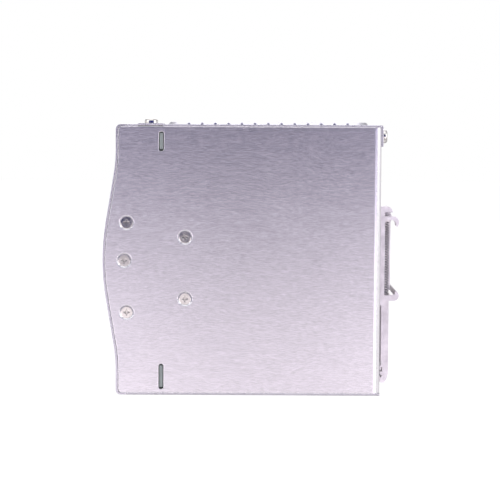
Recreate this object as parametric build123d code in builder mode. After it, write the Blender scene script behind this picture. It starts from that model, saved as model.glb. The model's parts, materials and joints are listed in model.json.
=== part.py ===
from build123d import *
from math import cos, radians, sin, tan
import os

# A 480 W class power supply for a 35 mm DIN rail, as the pieces it comes apart into.
# Origin: middle of the rail's front plane. +X is the right side seen from the front,
# +Y points back to the wall and +Z is up. All sizes are in millimetres.

os.makedirs("parts", exist_ok=True)

# ---- driving dimensions -------------------------------------------------------------------
WIDTH = 85.5
HEIGHT = 125.2
DEPTH = 128.5  # crown of the front to the back plate
RAIL_GAP = 6.7  # back plate to the rail's front plane
RAIL_ABOVE_BASE = HEIGHT / 2
RAIL_HEIGHT = 35.0

RIGHT = WIDTH / 2
LEFT = -WIDTH / 2
BASE = -RAIL_ABOVE_BASE
TOP = BASE + HEIGHT
MIDDLE = (TOP + BASE) / 2
BACK = -RAIL_GAP
CROWN = BACK - DEPTH

PLATE = 2.0  # chassis sheet
SHEET = 1.0  # cover and front panel sheet
STEP = SHEET + 0.2  # front panel's outer face to the side plates' front edge
CLEARANCE = 0.1

PLATE_LOW = BASE + SHEET
PLATE_HIGH = TOP - SHEET
PLATE_INSIDE = RIGHT - PLATE
COVER_INSIDE = LEFT + SHEET

# ---- the S-shaped front, as seen from the side --------------------------------------------
CURVE_HALF_HEIGHT = 51.0
LEAN = radians(9.46)  # the straight flanks lean this far out of upright
HOLLOW_RADIUS = 67.0
CROWN_RADIUS = 106.5
FLANK_HEIGHT = CURVE_HALF_HEIGHT - (HOLLOW_RADIUS + CROWN_RADIUS) * sin(LEAN)
BULGE = (HOLLOW_RADIUS + CROWN_RADIUS) * (1 - cos(LEAN)) + FLANK_HEIGHT * tan(LEAN)
FLAT = CROWN + BULGE  # the flat strips at the top and bottom of the front


def front_outline(set_back, rear, low, high):
    """Side view between the front curve, moved back by set_back, and the line y = rear."""
    flat = FLAT + set_back
    hollow = HOLLOW_RADIUS + set_back
    crown = CROWN_RADIUS - set_back
    hollow_y = FLAT - HOLLOW_RADIUS
    crown_y = CROWN + CROWN_RADIUS

    def on_hollow(angle, side):
        lift = CURVE_HALF_HEIGHT - hollow * sin(angle)
        return (hollow_y + hollow * cos(angle), MIDDLE + side * lift)

    def on_crown(angle, side):
        return (crown_y - crown * cos(angle), MIDDLE + side * crown * sin(angle))

    with BuildSketch() as outline:
        with BuildLine():
            Polyline((rear, high), (flat, high), on_hollow(0, 1))
            ThreePointArc(on_hollow(0, 1), on_hollow(LEAN / 2, 1), on_hollow(LEAN, 1))
            Line(on_hollow(LEAN, 1), on_crown(LEAN, 1))
            ThreePointArc(on_crown(LEAN, 1), on_crown(0, 1), on_crown(LEAN, -1))
            Line(on_crown(LEAN, -1), on_hollow(LEAN, -1))
            ThreePointArc(on_hollow(LEAN, -1), on_hollow(LEAN / 2, -1), on_hollow(0, -1))
            Polyline(on_hollow(0, -1), (flat, low), (rear, low), (rear, high))
        make_face()
    return outline.sketch


def box_between(x, y, z):
    """A block from its three pairs of limits."""
    with BuildPart() as block:
        with Locations(((x[0] + x[1]) / 2, (y[0] + y[1]) / 2, (z[0] + z[1]) / 2)):
            Box(x[1] - x[0], y[1] - y[0], z[1] - z[0])
    return block.part


def edges_at(builder, axis, **at):
    """Edges of a part along one axis, at the named x, y or z places."""
    edges = builder.edges().filter_by(axis)
    for name, place in at.items():
        along = {"x": Axis.X, "y": Axis.Y, "z": Axis.Z}[name]
        edges = edges.filter_by_position(along, place - 0.01, place + 0.01)
    return edges


def facing(direction, *points):
    """Placing planes at the points, with their normals along a direction."""
    return [Plane(origin=point, z_dir=direction) for point in points]


# ---- fasteners, each with its head's bearing face at z = 0 and its shank along -Z ----------
THREAD = 3.0
TAPPED = THREAD / 2 + 0.02
PASSING = THREAD / 2 + 0.15
PAN_RADIUS = 3.1
PAN_HEIGHT = 2.1
FLAT_HEAD_RADIUS = 2.8
FLAT_HEAD_HEIGHT = FLAT_HEAD_RADIUS - THREAD / 2
SUNK = 0.65  # how far the side plate's flat heads sit below its face


def cross_recess(head_top, reach, depth):
    """The tapered cross that a screwdriver fits, as a solid to take out of a head."""
    with BuildPart() as recess:
        with BuildSketch(Plane.XY.offset(head_top)):
            Rectangle(2 * reach, 0.72)
            Rectangle(0.72, 2 * reach)
        extrude(amount=-depth, taper=7)
        with Locations((0, 0, head_top)):
            Cone(0.5, 0.95, depth, align=(Align.CENTER, Align.CENTER, Align.MAX))
    return recess.part


def pan_screw(length):
    with BuildPart() as screw:
        Cylinder(THREAD / 2, length, align=(Align.CENTER, Align.CENTER, Align.MAX))
        Cylinder(PAN_RADIUS, PAN_HEIGHT, align=(Align.CENTER, Align.CENTER, Align.MIN))
        fillet(screw.edges().filter_by(GeomType.CIRCLE).group_by(Axis.Z)[-1], 1.2)
        chamfer(screw.edges().filter_by(GeomType.CIRCLE).group_by(Axis.Z)[0], 0.4)
        add(cross_recess(PAN_HEIGHT, 1.55, 1.3), mode=Mode.SUBTRACT)
    return screw.part


def flat_screw(length):
    """A countersunk screw: z = 0 is the top of its head."""
    with BuildPart() as screw:
        Cylinder(THREAD / 2, length, align=(Align.CENTER, Align.CENTER, Align.MAX))
        Cone(
            THREAD / 2,
            FLAT_HEAD_RADIUS,
            FLAT_HEAD_HEIGHT,
            align=(Align.CENTER, Align.CENTER, Align.MAX),
        )
        chamfer(screw.edges().filter_by(GeomType.CIRCLE).group_by(Axis.Z)[0], 0.4)
        add(cross_recess(0, 1.5, 1.1), mode=Mode.SUBTRACT)
    return screw.part


def countersink(sunk, depth):
    """The hole for a flat head whose top is sunk below the face at z = 0."""
    with BuildPart() as hole:
        Cylinder(PASSING, depth, align=(Align.CENTER, Align.CENTER, Align.MAX))
        Cone(
            THREAD / 2,
            FLAT_HEAD_RADIUS + sunk,
            FLAT_HEAD_HEIGHT + sunk,
            align=(Align.CENTER, Align.CENTER, Align.MAX),
        )
    return hole.part


def round_hole(radius, depth):
    with BuildPart() as hole:
        Cylinder(radius, depth, align=(Align.CENTER, Align.CENTER, Align.MAX))
    return hole.part


def hex_nut(height):
    """A nut standing on z = 0."""
    with BuildPart() as nut:
        with BuildSketch():
            RegularPolygon(5.5 / 2, 6, major_radius=False)
            Circle(TAPPED, mode=Mode.SUBTRACT)
        extrude(amount=height)
    return nut.part


# ---- places shared by the case pieces -----------------------------------------------------
PANEL_SCREWS = [(-124.1, 17.2), (-125.2, -0.2), (-124.1, -24.3)]  # (y, z), both side walls
DEVICE_SCREWS = [(-97.1, 10.6), (-97.1, -17.9)]  # (y, z), right wall
SIDE_SCREWS = PANEL_SCREWS + DEVICE_SCREWS

BOARD_Y = -108.1  # middle plane of the two terminal boards
BOARD = 1.6
SLOT_WIDTH = 2.3
UPPER_SLOT = (50.2, 59.3)
LOWER_SLOT = (-60.0, -48.2)

TOP_TAB_Y = (-118.7, -107.4)
TOP_TAB_X = 27.3
PAD_RISE = 0.5
TOP_SCREW = (34.0, -113.1)  # (x, y)
BASE_TAB_Y = (-98.7, -84.7)
BASE_SCREW = (34.0, -91.7)
REAR_TABS_X = [-28.0, 33.0]
REAR_TAB = 13.0
REAR_SCREW_Z = 57.4
LEFT_FLANGE_DEPTH = 12.0
LEFT_FLANGE_HALF = 45.0
LEFT_SCREWS = [(-13.2, 33.4), (-13.2, -33.6)]  # (y, z)

CLAW_X = (19.0, 25.0)
BRACKET = 1.5
BRACKET_SCREWS = [(x, z) for x in (-20.3, 20.3) for z in (-14.0, 8.0)]

# ---- terminals: the poles stand along X, their screws point at the front ------------------
PITCH = 10.0
OUTPUT_POLES = 4
INPUT_POLES = 3
BLOCK_X = 4.0
BLOCK_FACE = -127.9
BLOCK_REAR = BOARD_Y - BOARD / 2 - CLEARANCE
BLOCK_HIGH = PLATE_HIGH - 0.3
BLOCK_LOW = BLOCK_HIGH - 15.5
POLE_Z = PLATE_HIGH - 9.5
JAW_TRAVEL = 2.8
WINDOW_LOW = BLOCK_LOW - 0.3
WINDOW_HIGH = TOP - 2.8
WIRE_OPENING_Y = (-122.3, -110.3)

LED_X = -22.5
TRIMMER_X = -31.0
CONTROL_Z = 52.4


def block_half_width(poles):
    return poles * PITCH / 2 + 1.0


def pole_places(poles):
    return [BLOCK_X + (i - (poles - 1) / 2) * PITCH for i in range(poles)]


def to_bottom(part):
    """The same piece for the lower terminals: the case is a mirror image about its middle."""
    return mirror(part, about=Plane.XY.offset(MIDDLE))


def mirrored_z(z):
    return 2 * MIDDLE - z


# ---- chassis: right side plate and back plate, bent from one sheet -------------------------
TAB_BEND = 0.8
TAB_RELIEF = 4.0  # how far down the side plate the top tab is cut free

with BuildPart() as top_tab:
    tab_high = PLATE_HIGH + PAD_RISE
    add(box_between((TOP_TAB_X, RIGHT), TOP_TAB_Y, (tab_high - PLATE, tab_high)))
    add(box_between((PLATE_INSIDE, RIGHT), TOP_TAB_Y, (PLATE_HIGH - TAB_RELIEF, tab_high)))
    fillet(edges_at(top_tab, Axis.Y, x=RIGHT, z=tab_high), TAB_BEND)

with BuildPart() as chassis:
    with BuildSketch(Plane.YZ.offset(PLATE_INSIDE)):
        add(front_outline(STEP, BACK, PLATE_LOW, PLATE_HIGH))
    extrude(amount=PLATE)
    fillet(edges_at(chassis, Axis.X, y=FLAT + STEP), 1.6)
    add(box_between((COVER_INSIDE, RIGHT), (BACK - PLATE, BACK), (PLATE_LOW, PLATE_HIGH)))
    # flange along the back plate's left edge, for the cover's side screws
    add(
        box_between(
            (COVER_INSIDE, COVER_INSIDE + PLATE),
            (BACK - LEFT_FLANGE_DEPTH, BACK),
            (MIDDLE - LEFT_FLANGE_HALF, MIDDLE + LEFT_FLANGE_HALF),
        )
    )
    fillet(edges_at(chassis, Axis.Z, x=RIGHT, y=BACK), 3.0)
    fillet(edges_at(chassis, Axis.Z, x=PLATE_INSIDE, y=BACK - PLATE), 1.0)
    # inward tabs that carry the cover's top and bottom screws
    add(
        box_between((PLATE_INSIDE, RIGHT), TOP_TAB_Y, (PLATE_HIGH - TAB_RELIEF, PLATE_HIGH)),
        mode=Mode.SUBTRACT,
    )
    add(top_tab.part)
    add(box_between((TOP_TAB_X, RIGHT), BASE_TAB_Y, (PLATE_LOW, PLATE_LOW + PLATE)))
    # slots for the terminal boards
    for low, high in (UPPER_SLOT, LOWER_SLOT):
        with BuildSketch(Plane.YZ.offset(PLATE_INSIDE)):
            with Locations((BOARD_Y, (low + high) / 2)):
                SlotOverall(high - low, SLOT_WIDTH, rotation=90)
        extrude(amount=PLATE, mode=Mode.SUBTRACT)
    with Locations(*facing((1, 0, 0), *[(RIGHT, y, z) for y, z in SIDE_SCREWS])):
        add(countersink(SUNK, PLATE + 1), mode=Mode.SUBTRACT)
    with Locations((TOP_SCREW[0], TOP_SCREW[1], PLATE_HIGH + PAD_RISE)):
        add(round_hole(TAPPED, PLATE), mode=Mode.SUBTRACT)
    with Locations(*facing((0, 0, -1), (BASE_SCREW[0], BASE_SCREW[1], BASE))):
        add(countersink(0.05, SHEET + PLATE), mode=Mode.SUBTRACT)
    with Locations(*facing((0, 1, 0), *[(x, BACK, REAR_SCREW_Z) for x in REAR_TABS_X])):
        add(round_hole(TAPPED, PLATE), mode=Mode.SUBTRACT)
    with Locations(*facing((0, 1, 0), *[(x, BACK, z) for x, z in BRACKET_SCREWS])):
        add(round_hole(TAPPED, PLATE), mode=Mode.SUBTRACT)
    with Locations(*facing((-1, 0, 0), *[(COVER_INSIDE, y, z) for y, z in LEFT_SCREWS])):
        add(round_hole(TAPPED, PLATE), mode=Mode.SUBTRACT)

# ---- cover: left side, top and bottom, bent from one sheet --------------------------------
FLANGE_END = FLAT + 5.0  # rear edge of the front panel's top and bottom flanges
COVER_FRONT = FLANGE_END + CLEARANCE
VENT_Y = (-104.2, -13.6)
VENT_X = (-36.5, 38.0)
VENT_RISE = 1.2
VENT_HOLE = 1.45
VENT_PITCH = 6.1
VENT_ROW = VENT_PITCH * cos(radians(30))


def raised_field(height, grow):
    """The sloped-sided field of the top vents, grown outward by grow at its foot."""
    with BuildPart() as field:
        with BuildSketch():
            with Locations(((VENT_X[0] + VENT_X[1]) / 2, (VENT_Y[0] + VENT_Y[1]) / 2)):
                RectangleRounded(
                    VENT_X[1] - VENT_X[0] + 2 * grow, VENT_Y[1] - VENT_Y[0] + 2 * grow, 5.0 + grow
                )
        extrude(amount=height, taper=45)
    return field.part


def vent_places(x, y):
    """Staggered rows of holes that fill a rectangle."""
    rows = int((x[1] - x[0]) / VENT_ROW)
    columns = int((y[1] - y[0]) / VENT_PITCH)
    places = []
    for row in range(rows):
        count = columns - row % 2
        for column in range(count):
            places.append(
                (
                    (x[0] + x[1]) / 2 + (row - (rows - 1) / 2) * VENT_ROW,
                    (y[0] + y[1]) / 2 + (column - (count - 1) / 2) * VENT_PITCH,
                )
            )
    return places


# the outermost row cuts the slope on the right
TOP_VENTS = vent_places((VENT_X[0] - 0.3, VENT_X[1] + 4.5), (VENT_Y[0] + 3.5, VENT_Y[1] - 3.5))
BASE_VENTS = vent_places((-36.0, 24.0), (-100.7, -18.7))

with BuildPart() as cover:
    with BuildSketch(Plane.YZ.offset(LEFT)):
        add(front_outline(STEP, BACK, PLATE_LOW, PLATE_HIGH))
    extrude(amount=SHEET)
    fillet(edges_at(cover, Axis.X, y=FLAT + STEP), 1.6)
    for low in (BASE, PLATE_HIGH):
        add(box_between((LEFT, RIGHT), (COVER_FRONT, BACK), (low, low + SHEET)))
    for z in (TOP, BASE):
        fillet(edges_at(cover, Axis.Y, x=LEFT, z=z), 0.95)
    for x in REAR_TABS_X:
        tab_x = (x - REAR_TAB / 2, x + REAR_TAB / 2)
        add(box_between(tab_x, (BACK, BACK + SHEET), (REAR_SCREW_Z - 4.7, TOP)))
    fillet(edges_at(cover, Axis.X, y=BACK + SHEET, z=TOP), 0.95)
    # the vent field and the screw pad are pressed up out of the sheet
    with Locations((0, 0, TOP)):
        add(raised_field(VENT_RISE, VENT_RISE))
    with Locations((0, 0, PLATE_HIGH)):
        add(raised_field(VENT_RISE, 0.4), mode=Mode.SUBTRACT)
    pad_x = (TOP_TAB_X - 0.5, RIGHT)
    add(box_between(pad_x, (TOP_TAB_Y[0] - 0.2, TOP_TAB_Y[1] + 0.2), (PLATE_HIGH, TOP + PAD_RISE)))
    add(
        box_between((pad_x[0] + 0.3, RIGHT), TOP_TAB_Y, (PLATE_HIGH, PLATE_HIGH + PAD_RISE)),
        mode=Mode.SUBTRACT,
    )
    with BuildSketch(Plane.XY.offset(PLATE_HIGH)):
        with Locations(*TOP_VENTS):
            Circle(VENT_HOLE)
    extrude(amount=SHEET + VENT_RISE, mode=Mode.SUBTRACT)
    with BuildSketch(Plane.XY.offset(BASE)):
        with Locations(*BASE_VENTS):
            Circle(VENT_HOLE)
    extrude(amount=SHEET, mode=Mode.SUBTRACT)
    # openings over the wire entries of the two terminal blocks
    for poles, low in ((OUTPUT_POLES, PLATE_HIGH), (INPUT_POLES, BASE)):
        half = block_half_width(poles)
        add(
            box_between((BLOCK_X - half, BLOCK_X + half), WIRE_OPENING_Y, (low, low + SHEET)),
            mode=Mode.SUBTRACT,
        )
    with Locations((TOP_SCREW[0], TOP_SCREW[1], TOP + PAD_RISE)):
        add(round_hole(PASSING, SHEET + PAD_RISE), mode=Mode.SUBTRACT)
    with Locations(*facing((0, 0, -1), (BASE_SCREW[0], BASE_SCREW[1], BASE))):
        add(countersink(0.05, SHEET + PLATE), mode=Mode.SUBTRACT)
    with Locations(*facing((0, 1, 0), *[(x, BACK + SHEET, REAR_SCREW_Z) for x in REAR_TABS_X])):
        add(round_hole(PASSING, SHEET), mode=Mode.SUBTRACT)
    with Locations(*facing((-1, 0, 0), *[(LEFT, y, z) for y, z in LEFT_SCREWS + PANEL_SCREWS])):
        add(round_hole(PASSING, SHEET), mode=Mode.SUBTRACT)

# ---- front panel: the curved face, its two flanges and two side ears -----------------------
EAR_Z = (-31.6, 24.4)
EAR_REAR = -119.5

with BuildPart() as front_panel:
    with BuildSketch(Plane.YZ.offset(LEFT)):
        add(front_outline(0, FLANGE_END, BASE, TOP))
        add(front_outline(SHEET, FLANGE_END, PLATE_LOW, PLATE_HIGH), mode=Mode.SUBTRACT)
    extrude(amount=WIDTH)
    for z in (TOP, BASE):
        fillet(edges_at(front_panel, Axis.X, y=FLAT, z=z), 2.3)
    for z in (PLATE_HIGH, PLATE_LOW):
        fillet(edges_at(front_panel, Axis.X, y=FLAT + SHEET, z=z), 1.3)
    for inner in (PLATE_INSIDE - SHEET, COVER_INSIDE):
        with BuildSketch(Plane.YZ.offset(inner)):
            add(front_outline(SHEET - 0.1, EAR_REAR, PLATE_LOW, PLATE_HIGH))
            with Locations((EAR_REAR - 10, (EAR_Z[0] + EAR_Z[1]) / 2)):
                Rectangle(20, EAR_Z[1] - EAR_Z[0], mode=Mode.INTERSECT)
        extrude(amount=SHEET)
    for y, z in PANEL_SCREWS:
        with Locations(*facing((1, 0, 0), (PLATE_INSIDE, y, z), (COVER_INSIDE + SHEET, y, z))):
            add(round_hole(PASSING, SHEET), mode=Mode.SUBTRACT)
    # windows over the terminal blocks
    for poles, low, high in (
        (OUTPUT_POLES, WINDOW_LOW, WINDOW_HIGH),
        (INPUT_POLES, mirrored_z(WINDOW_HIGH), mirrored_z(WINDOW_LOW)),
    ):
        half = block_half_width(poles) + 0.3
        add(
            box_between((BLOCK_X - half, BLOCK_X + half), (FLAT - 2, FLAT + 2), (low, high)),
            mode=Mode.SUBTRACT,
        )
    with Locations(*facing((0, -1, 0), (LED_X, FLAT - 2, CONTROL_Z))):
        add(round_hole(1.6, 5), mode=Mode.SUBTRACT)
    with Locations(*facing((0, -1, 0), (TRIMMER_X, FLAT - 2, CONTROL_Z))):
        add(round_hole(3.4, 5), mode=Mode.SUBTRACT)

# ---- case fasteners -----------------------------------------------------------------------
NUT_HEIGHT = 2.0
PANEL_SCREW_LENGTH = 4.6
PAN_SCREW_LENGTH = 4.0
DEVICE_SCREW_LENGTH = 9.2

with BuildPart() as panel_screws:
    with Locations(*facing((1, 0, 0), *[(RIGHT - SUNK, y, z) for y, z in PANEL_SCREWS])):
        add(flat_screw(PANEL_SCREW_LENGTH))

# one kind of pan-head screw holds the cover at its top, back and left, and the panel's left ear
with BuildPart() as cover_screws:
    with Locations(
        Plane(origin=(TOP_SCREW[0], TOP_SCREW[1], TOP + PAD_RISE)),
        *facing((0, 1, 0), *[(x, BACK + SHEET, REAR_SCREW_Z) for x in REAR_TABS_X]),
        *facing((-1, 0, 0), *[(LEFT, y, z) for y, z in LEFT_SCREWS + PANEL_SCREWS]),
    ):
        add(pan_screw(PAN_SCREW_LENGTH))

with BuildPart() as cover_base_screw:
    with Locations(*facing((0, 0, -1), (BASE_SCREW[0], BASE_SCREW[1], BASE + 0.05))):
        add(flat_screw(5.0))

# ---- rail clip: bracket, sliding latch and two springs -------------------------------------
TUNNEL_HALF = 9.5
FOOT_FACE = BACK + BRACKET
FOOT_RIM = BACK + 3.0
FOOT_Z = (-22.3, 24.5)
FOOT_OUT = CLAW_X[1]
WEB_Z = (-16.1, 21.9)
HOOD_TURN = 2.4  # how far before the seat the bracket's top starts to turn down
HOOD_LOW = 21.7
ARCH_TOP = RAIL_HEIGHT / 2 + 0.7
ARM_TOP = ARCH_TOP + 1.6
RAIL_LIP = 1.4  # room between the seat and the claws for the rail's edge
CLAW_OUT = 2.9
CLAW_TIP = 14.8
PEG_Z = -10.2
PEG_RADIUS = 1.9
LATCH_TRAVEL = 8.0
SPRING_X = 15.0
SPRING_Y = BACK + 4.65
SPRING_RADIUS = 1.2
SPRING_WIRE = 0.24
SPRING_TOP = 17.0
SPRING_PITCH = 1.2
EAR = 1.5
EAR_REACH = (2.2, 4.2)  # from the spring's axis towards the middle and towards the claw


def hood_outline(rise):
    """Side view of the bracket's top, turned down at the seat; rise is its sheet, or its full depth."""
    inner = -rise
    with BuildSketch() as outline:
        with BuildLine():
            Polyline((BACK, FOOT_Z[1]), (-HOOD_TURN, FOOT_Z[1]))
            ThreePointArc((-HOOD_TURN, FOOT_Z[1]), (-0.7, FOOT_Z[1] - 0.97), (0, HOOD_LOW))
            Line((0, HOOD_LOW), (inner, HOOD_LOW))
            Polyline((inner, HOOD_LOW), (inner, FOOT_Z[1] - BRACKET), (BACK, FOOT_Z[1] - BRACKET))
            Line((BACK, FOOT_Z[1] - BRACKET), (BACK, FOOT_Z[1]))
        make_face()
    return outline.sketch


with BuildPart() as rail_bracket:
    web_half = TUNNEL_HALF + BRACKET
    for side in (-1, 1):
        foot_x = sorted((side * TUNNEL_HALF, side * FOOT_OUT))
        rim_x = sorted((side * (FOOT_OUT - BRACKET), side * FOOT_OUT))
        add(box_between(foot_x, (BACK, FOOT_FACE), FOOT_Z))
        add(box_between(rim_x, (BACK, FOOT_RIM), FOOT_Z))
        with BuildSketch(Plane.YZ.offset(rim_x[0])):
            add(hood_outline(RAIL_GAP - 0.5))
        extrude(amount=BRACKET)
    with BuildSketch(Plane.YZ.offset(-FOOT_OUT)):
        add(hood_outline(BRACKET))
    extrude(amount=2 * FOOT_OUT)
    add(box_between((-web_half, web_half), (BACK, 0), WEB_Z))
    add(
        box_between((-TUNNEL_HALF, TUNNEL_HALF), (BACK, -BRACKET), WEB_Z),
        mode=Mode.SUBTRACT,
    )
    # stop peg, pressed out of the web into the latch's slot
    with Locations(*facing((0, -1, 0), (0, -BRACKET, PEG_Z))):
        Cylinder(PEG_RADIUS, 1.4, align=(Align.CENTER, Align.CENTER, Align.MIN))
    # claws that hang on the rail's upper edge
    for start in (CLAW_X[0], -CLAW_X[1]):
        with BuildSketch(Plane.YZ.offset(start)):
            with BuildLine():
                Polyline((-0.4, ARCH_TOP), (BACK, ARCH_TOP), (BACK, ARM_TOP), (0.4, ARM_TOP))
                ThreePointArc((0.4, ARM_TOP), (2.2, 19.0), (CLAW_OUT, 17.2))
                Polyline((CLAW_OUT, 17.2), (CLAW_OUT, 16.4), (2.2, CLAW_TIP), (RAIL_LIP, 15.6))
                ThreePointArc((RAIL_LIP, 15.6), (1.0, 17.3), (-0.4, ARCH_TOP))
            make_face()
        extrude(amount=CLAW_X[1] - CLAW_X[0])
    # ears that the springs hook on
    for side in (-1, 1):
        ear_x = sorted((side * (SPRING_X - EAR_REACH[0]), side * (SPRING_X + EAR_REACH[1])))
        ear_y = (FOOT_FACE - 0.2, SPRING_Y + SPRING_RADIUS)
        add(box_between(ear_x, ear_y, (SPRING_TOP + 0.1, SPRING_TOP + 0.1 + EAR)))
    with Locations(*facing((0, 1, 0), *[(x, FOOT_FACE, z) for x, z in BRACKET_SCREWS])):
        add(countersink(0, BRACKET), mode=Mode.SUBTRACT)

with BuildPart() as bracket_screws:
    with Locations(*facing((0, 1, 0), *[(x, FOOT_FACE, z) for x, z in BRACKET_SCREWS])):
        add(flat_screw(BRACKET + PLATE + 0.6))

LATCH_HALF = TUNNEL_HALF - 0.2
LATCH_FACE = -BRACKET - 0.2
LATCH_INNER = LATCH_FACE - BRACKET
LEDGE_TOP = -RAIL_HEIGHT / 2 - 0.5
LEDGE = 2.7
LEDGE_LOW = LEDGE_TOP - LEDGE
LEDGE_HALF = 18.0
NOSE_TOP = LEDGE_TOP + 2.1
RUNNER_TOP = 2.0
FLANGE_Y = (-4.0, -0.4)
FLANGE_FOOT = -4.5  # the flanges reach this far towards the case at their lower ends
PULL_BEND = -57.0
PULL_END = -61.0
TOOL_SLOT_Z = -54.4

with BuildPart() as rail_latch:
    add(box_between((-LATCH_HALF, LATCH_HALF), (LATCH_INNER, LATCH_FACE), (PULL_BEND, RUNNER_TOP)))
    for side in (-1, 1):
        edge_x = sorted((side * (LATCH_HALF - BRACKET), side * LATCH_HALF))
        # runners folded towards the case, which the latch slides on in its tunnel
        add(box_between(edge_x, (BACK + 0.15, LATCH_FACE), (LEDGE_LOW, RUNNER_TOP)))
        # flanges that stiffen the pull, notched where they were bent near its end
        with BuildSketch(Plane.YZ.offset(edge_x[0])):
            with BuildLine():
                Polyline((FLANGE_Y[1], -54.5), (FLANGE_Y[1], LEDGE_LOW), (FLANGE_Y[0], LEDGE_LOW))
                Polyline((FLANGE_Y[0], LEDGE_LOW), (FLANGE_Y[0], -52.6), (FLANGE_FOOT, -53.0))
                Polyline((FLANGE_FOOT, -53.0), (FLANGE_FOOT, -60.6), (-4.1, PULL_END), (-2.3, PULL_END))
                ThreePointArc((-2.3, PULL_END), (-0.95, -58.4), (FLANGE_Y[1], -54.5))
            make_face()
            with BuildLine():
                Polyline((-4.7, -55.0), (-3.9, -55.0), (-3.9, -53.5), (-3.3, -53.5))
                Polyline((-3.3, -53.5), (-3.3, -55.7), (-4.7, -55.7), (-4.7, -55.0))
            make_face(mode=Mode.SUBTRACT)
            with BuildLine():
                Polyline((-4.7, -56.6), (-3.4, -57.6), (-4.0, -58.8), (-4.7, -56.6))
            make_face(mode=Mode.SUBTRACT)
        extrude(amount=BRACKET)
    # ledge under the rail's lower edge, with an upturned nose behind it
    with BuildSketch(Plane.YZ.offset(-LEDGE_HALF)):
        with BuildLine():
            Polyline(
                (1.9, LEDGE_LOW),
                (LATCH_INNER, LEDGE_LOW),
                (LATCH_INNER, LEDGE_TOP),
                (RAIL_LIP, LEDGE_TOP),
                (RAIL_LIP + 0.7, NOSE_TOP),
            )
            ThreePointArc((RAIL_LIP + 0.7, NOSE_TOP), (3.7, LEDGE_TOP - 0.3), (1.9, LEDGE_LOW))
        make_face()
    extrude(amount=2 * LEDGE_HALF)
    # the pull's end, curved in towards the case
    with BuildSketch(Plane.YZ.offset(-LATCH_HALF)):
        with BuildLine():
            ThreePointArc((LATCH_FACE, PULL_BEND), (-2.1, -59.2), (-3.1, PULL_END + 0.1))
            Line((-3.1, PULL_END + 0.1), (-4.2, -59.9))
            ThreePointArc((-4.2, -59.9), (-3.45, -58.6), (LATCH_INNER, PULL_BEND))
            Line((LATCH_INNER, PULL_BEND), (LATCH_FACE, PULL_BEND))
        make_face()
    extrude(amount=2 * LATCH_HALF)
    # stop slot around the bracket's peg, and the screwdriver slot in the pull
    with BuildSketch(Plane.XZ.offset(-LATCH_FACE)):
        with Locations((0, PEG_Z + LATCH_TRAVEL / 2)):
            SlotOverall(LATCH_TRAVEL + 2 * PEG_RADIUS + 0.2, 2 * PEG_RADIUS + 0.2, rotation=90)
        with Locations((0, TOOL_SLOT_Z)):
            RectangleRounded(7.5, 2.4, 0.6)
    extrude(amount=2, both=True, mode=Mode.SUBTRACT)

with BuildPart() as spring_coil:
    coil_length = SPRING_TOP - LEDGE_TOP - 0.2 - 2 * SPRING_WIRE
    with BuildLine() as coil:
        Helix(pitch=SPRING_PITCH, height=coil_length, radius=SPRING_RADIUS - SPRING_WIRE)
    with BuildSketch(Plane(origin=coil.line @ 0, z_dir=coil.line % 0)):
        Circle(SPRING_WIRE)
    sweep(is_frenet=True)

with BuildPart() as latch_springs:
    spring_z = LEDGE_TOP + 0.1 + SPRING_WIRE
    with Locations((-SPRING_X, SPRING_Y, spring_z), (SPRING_X, SPRING_Y, spring_z)):
        add(spring_coil.part)

# ---- terminal blocks, their bars, screws and jaws -------------------------------------------
HEAD_FACE = -126.2
HEAD_SEAT = -123.8
JAW_FRONT = -119.9
JAW_REAR = -110.4
JAW_HALF_WIDTH = 3.5
JAW_HALF_HEIGHT = 2.5
BAR_Y = (-116.0, -115.0)
CLAMP_SCREW = 1.95
BAR_HALF = 2.2
BAR_LOW = POLE_Z - 4.5


def terminal_block(poles):
    with BuildPart() as block:
        half = block_half_width(poles)
        block_x = (BLOCK_X - half, BLOCK_X + half)
        add(box_between(block_x, (BLOCK_FACE, BLOCK_REAR), (BLOCK_LOW, BLOCK_HIGH)))
        fillet(edges_at(block, Axis.X, y=BLOCK_FACE, z=BLOCK_HIGH), 1.6)
        for x in pole_places(poles):
            with Locations(*facing((0, -1, 0), (x, BLOCK_FACE, POLE_Z))):
                add(round_hole(3.2, HEAD_SEAT + 0.2 - BLOCK_FACE), mode=Mode.SUBTRACT)
                add(round_hole(2.15, 6), mode=Mode.SUBTRACT)
            # cage room, open towards the wire side
            add(
                box_between(
                    (x - JAW_HALF_WIDTH - 0.1, x + JAW_HALF_WIDTH + 0.1),
                    (JAW_FRONT - JAW_TRAVEL - 0.3, JAW_REAR + 0.2),
                    (POLE_Z - JAW_HALF_HEIGHT - 0.1, BLOCK_HIGH),
                ),
                mode=Mode.SUBTRACT,
            )
            # room for the contact bar and its tail
            add(
                box_between(
                    (x - BAR_HALF - 0.1, x + BAR_HALF + 0.1),
                    (BAR_Y[0] - 0.1, BAR_Y[1] + 0.1),
                    (BAR_LOW - 0.1, POLE_Z),
                ),
                mode=Mode.SUBTRACT,
            )
            add(
                box_between(
                    (x - 1.1, x + 1.1), (BAR_Y[0], BLOCK_REAR), (BAR_LOW - 0.1, BAR_LOW + 1.1)
                ),
                mode=Mode.SUBTRACT,
            )
        # raised ribs between the poles
        for x in pole_places(poles)[1:]:
            add(
                box_between(
                    (x - PITCH / 2 - 0.6, x - PITCH / 2 + 0.6),
                    (BLOCK_FACE - 0.9, BLOCK_FACE + 0.2),
                    (WINDOW_LOW + 0.4, WINDOW_HIGH - 0.4),
                )
            )
    return block.part


def contact_bars(poles):
    with BuildPart() as bars:
        for x in pole_places(poles):
            add(box_between((x - BAR_HALF, x + BAR_HALF), BAR_Y, (BAR_LOW, POLE_Z + 3.2)))
            add(box_between((x - 1, x + 1), (BAR_Y[0], BOARD_Y + 2.2), (BAR_LOW, BAR_LOW + 1)))
    return bars.part


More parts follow.
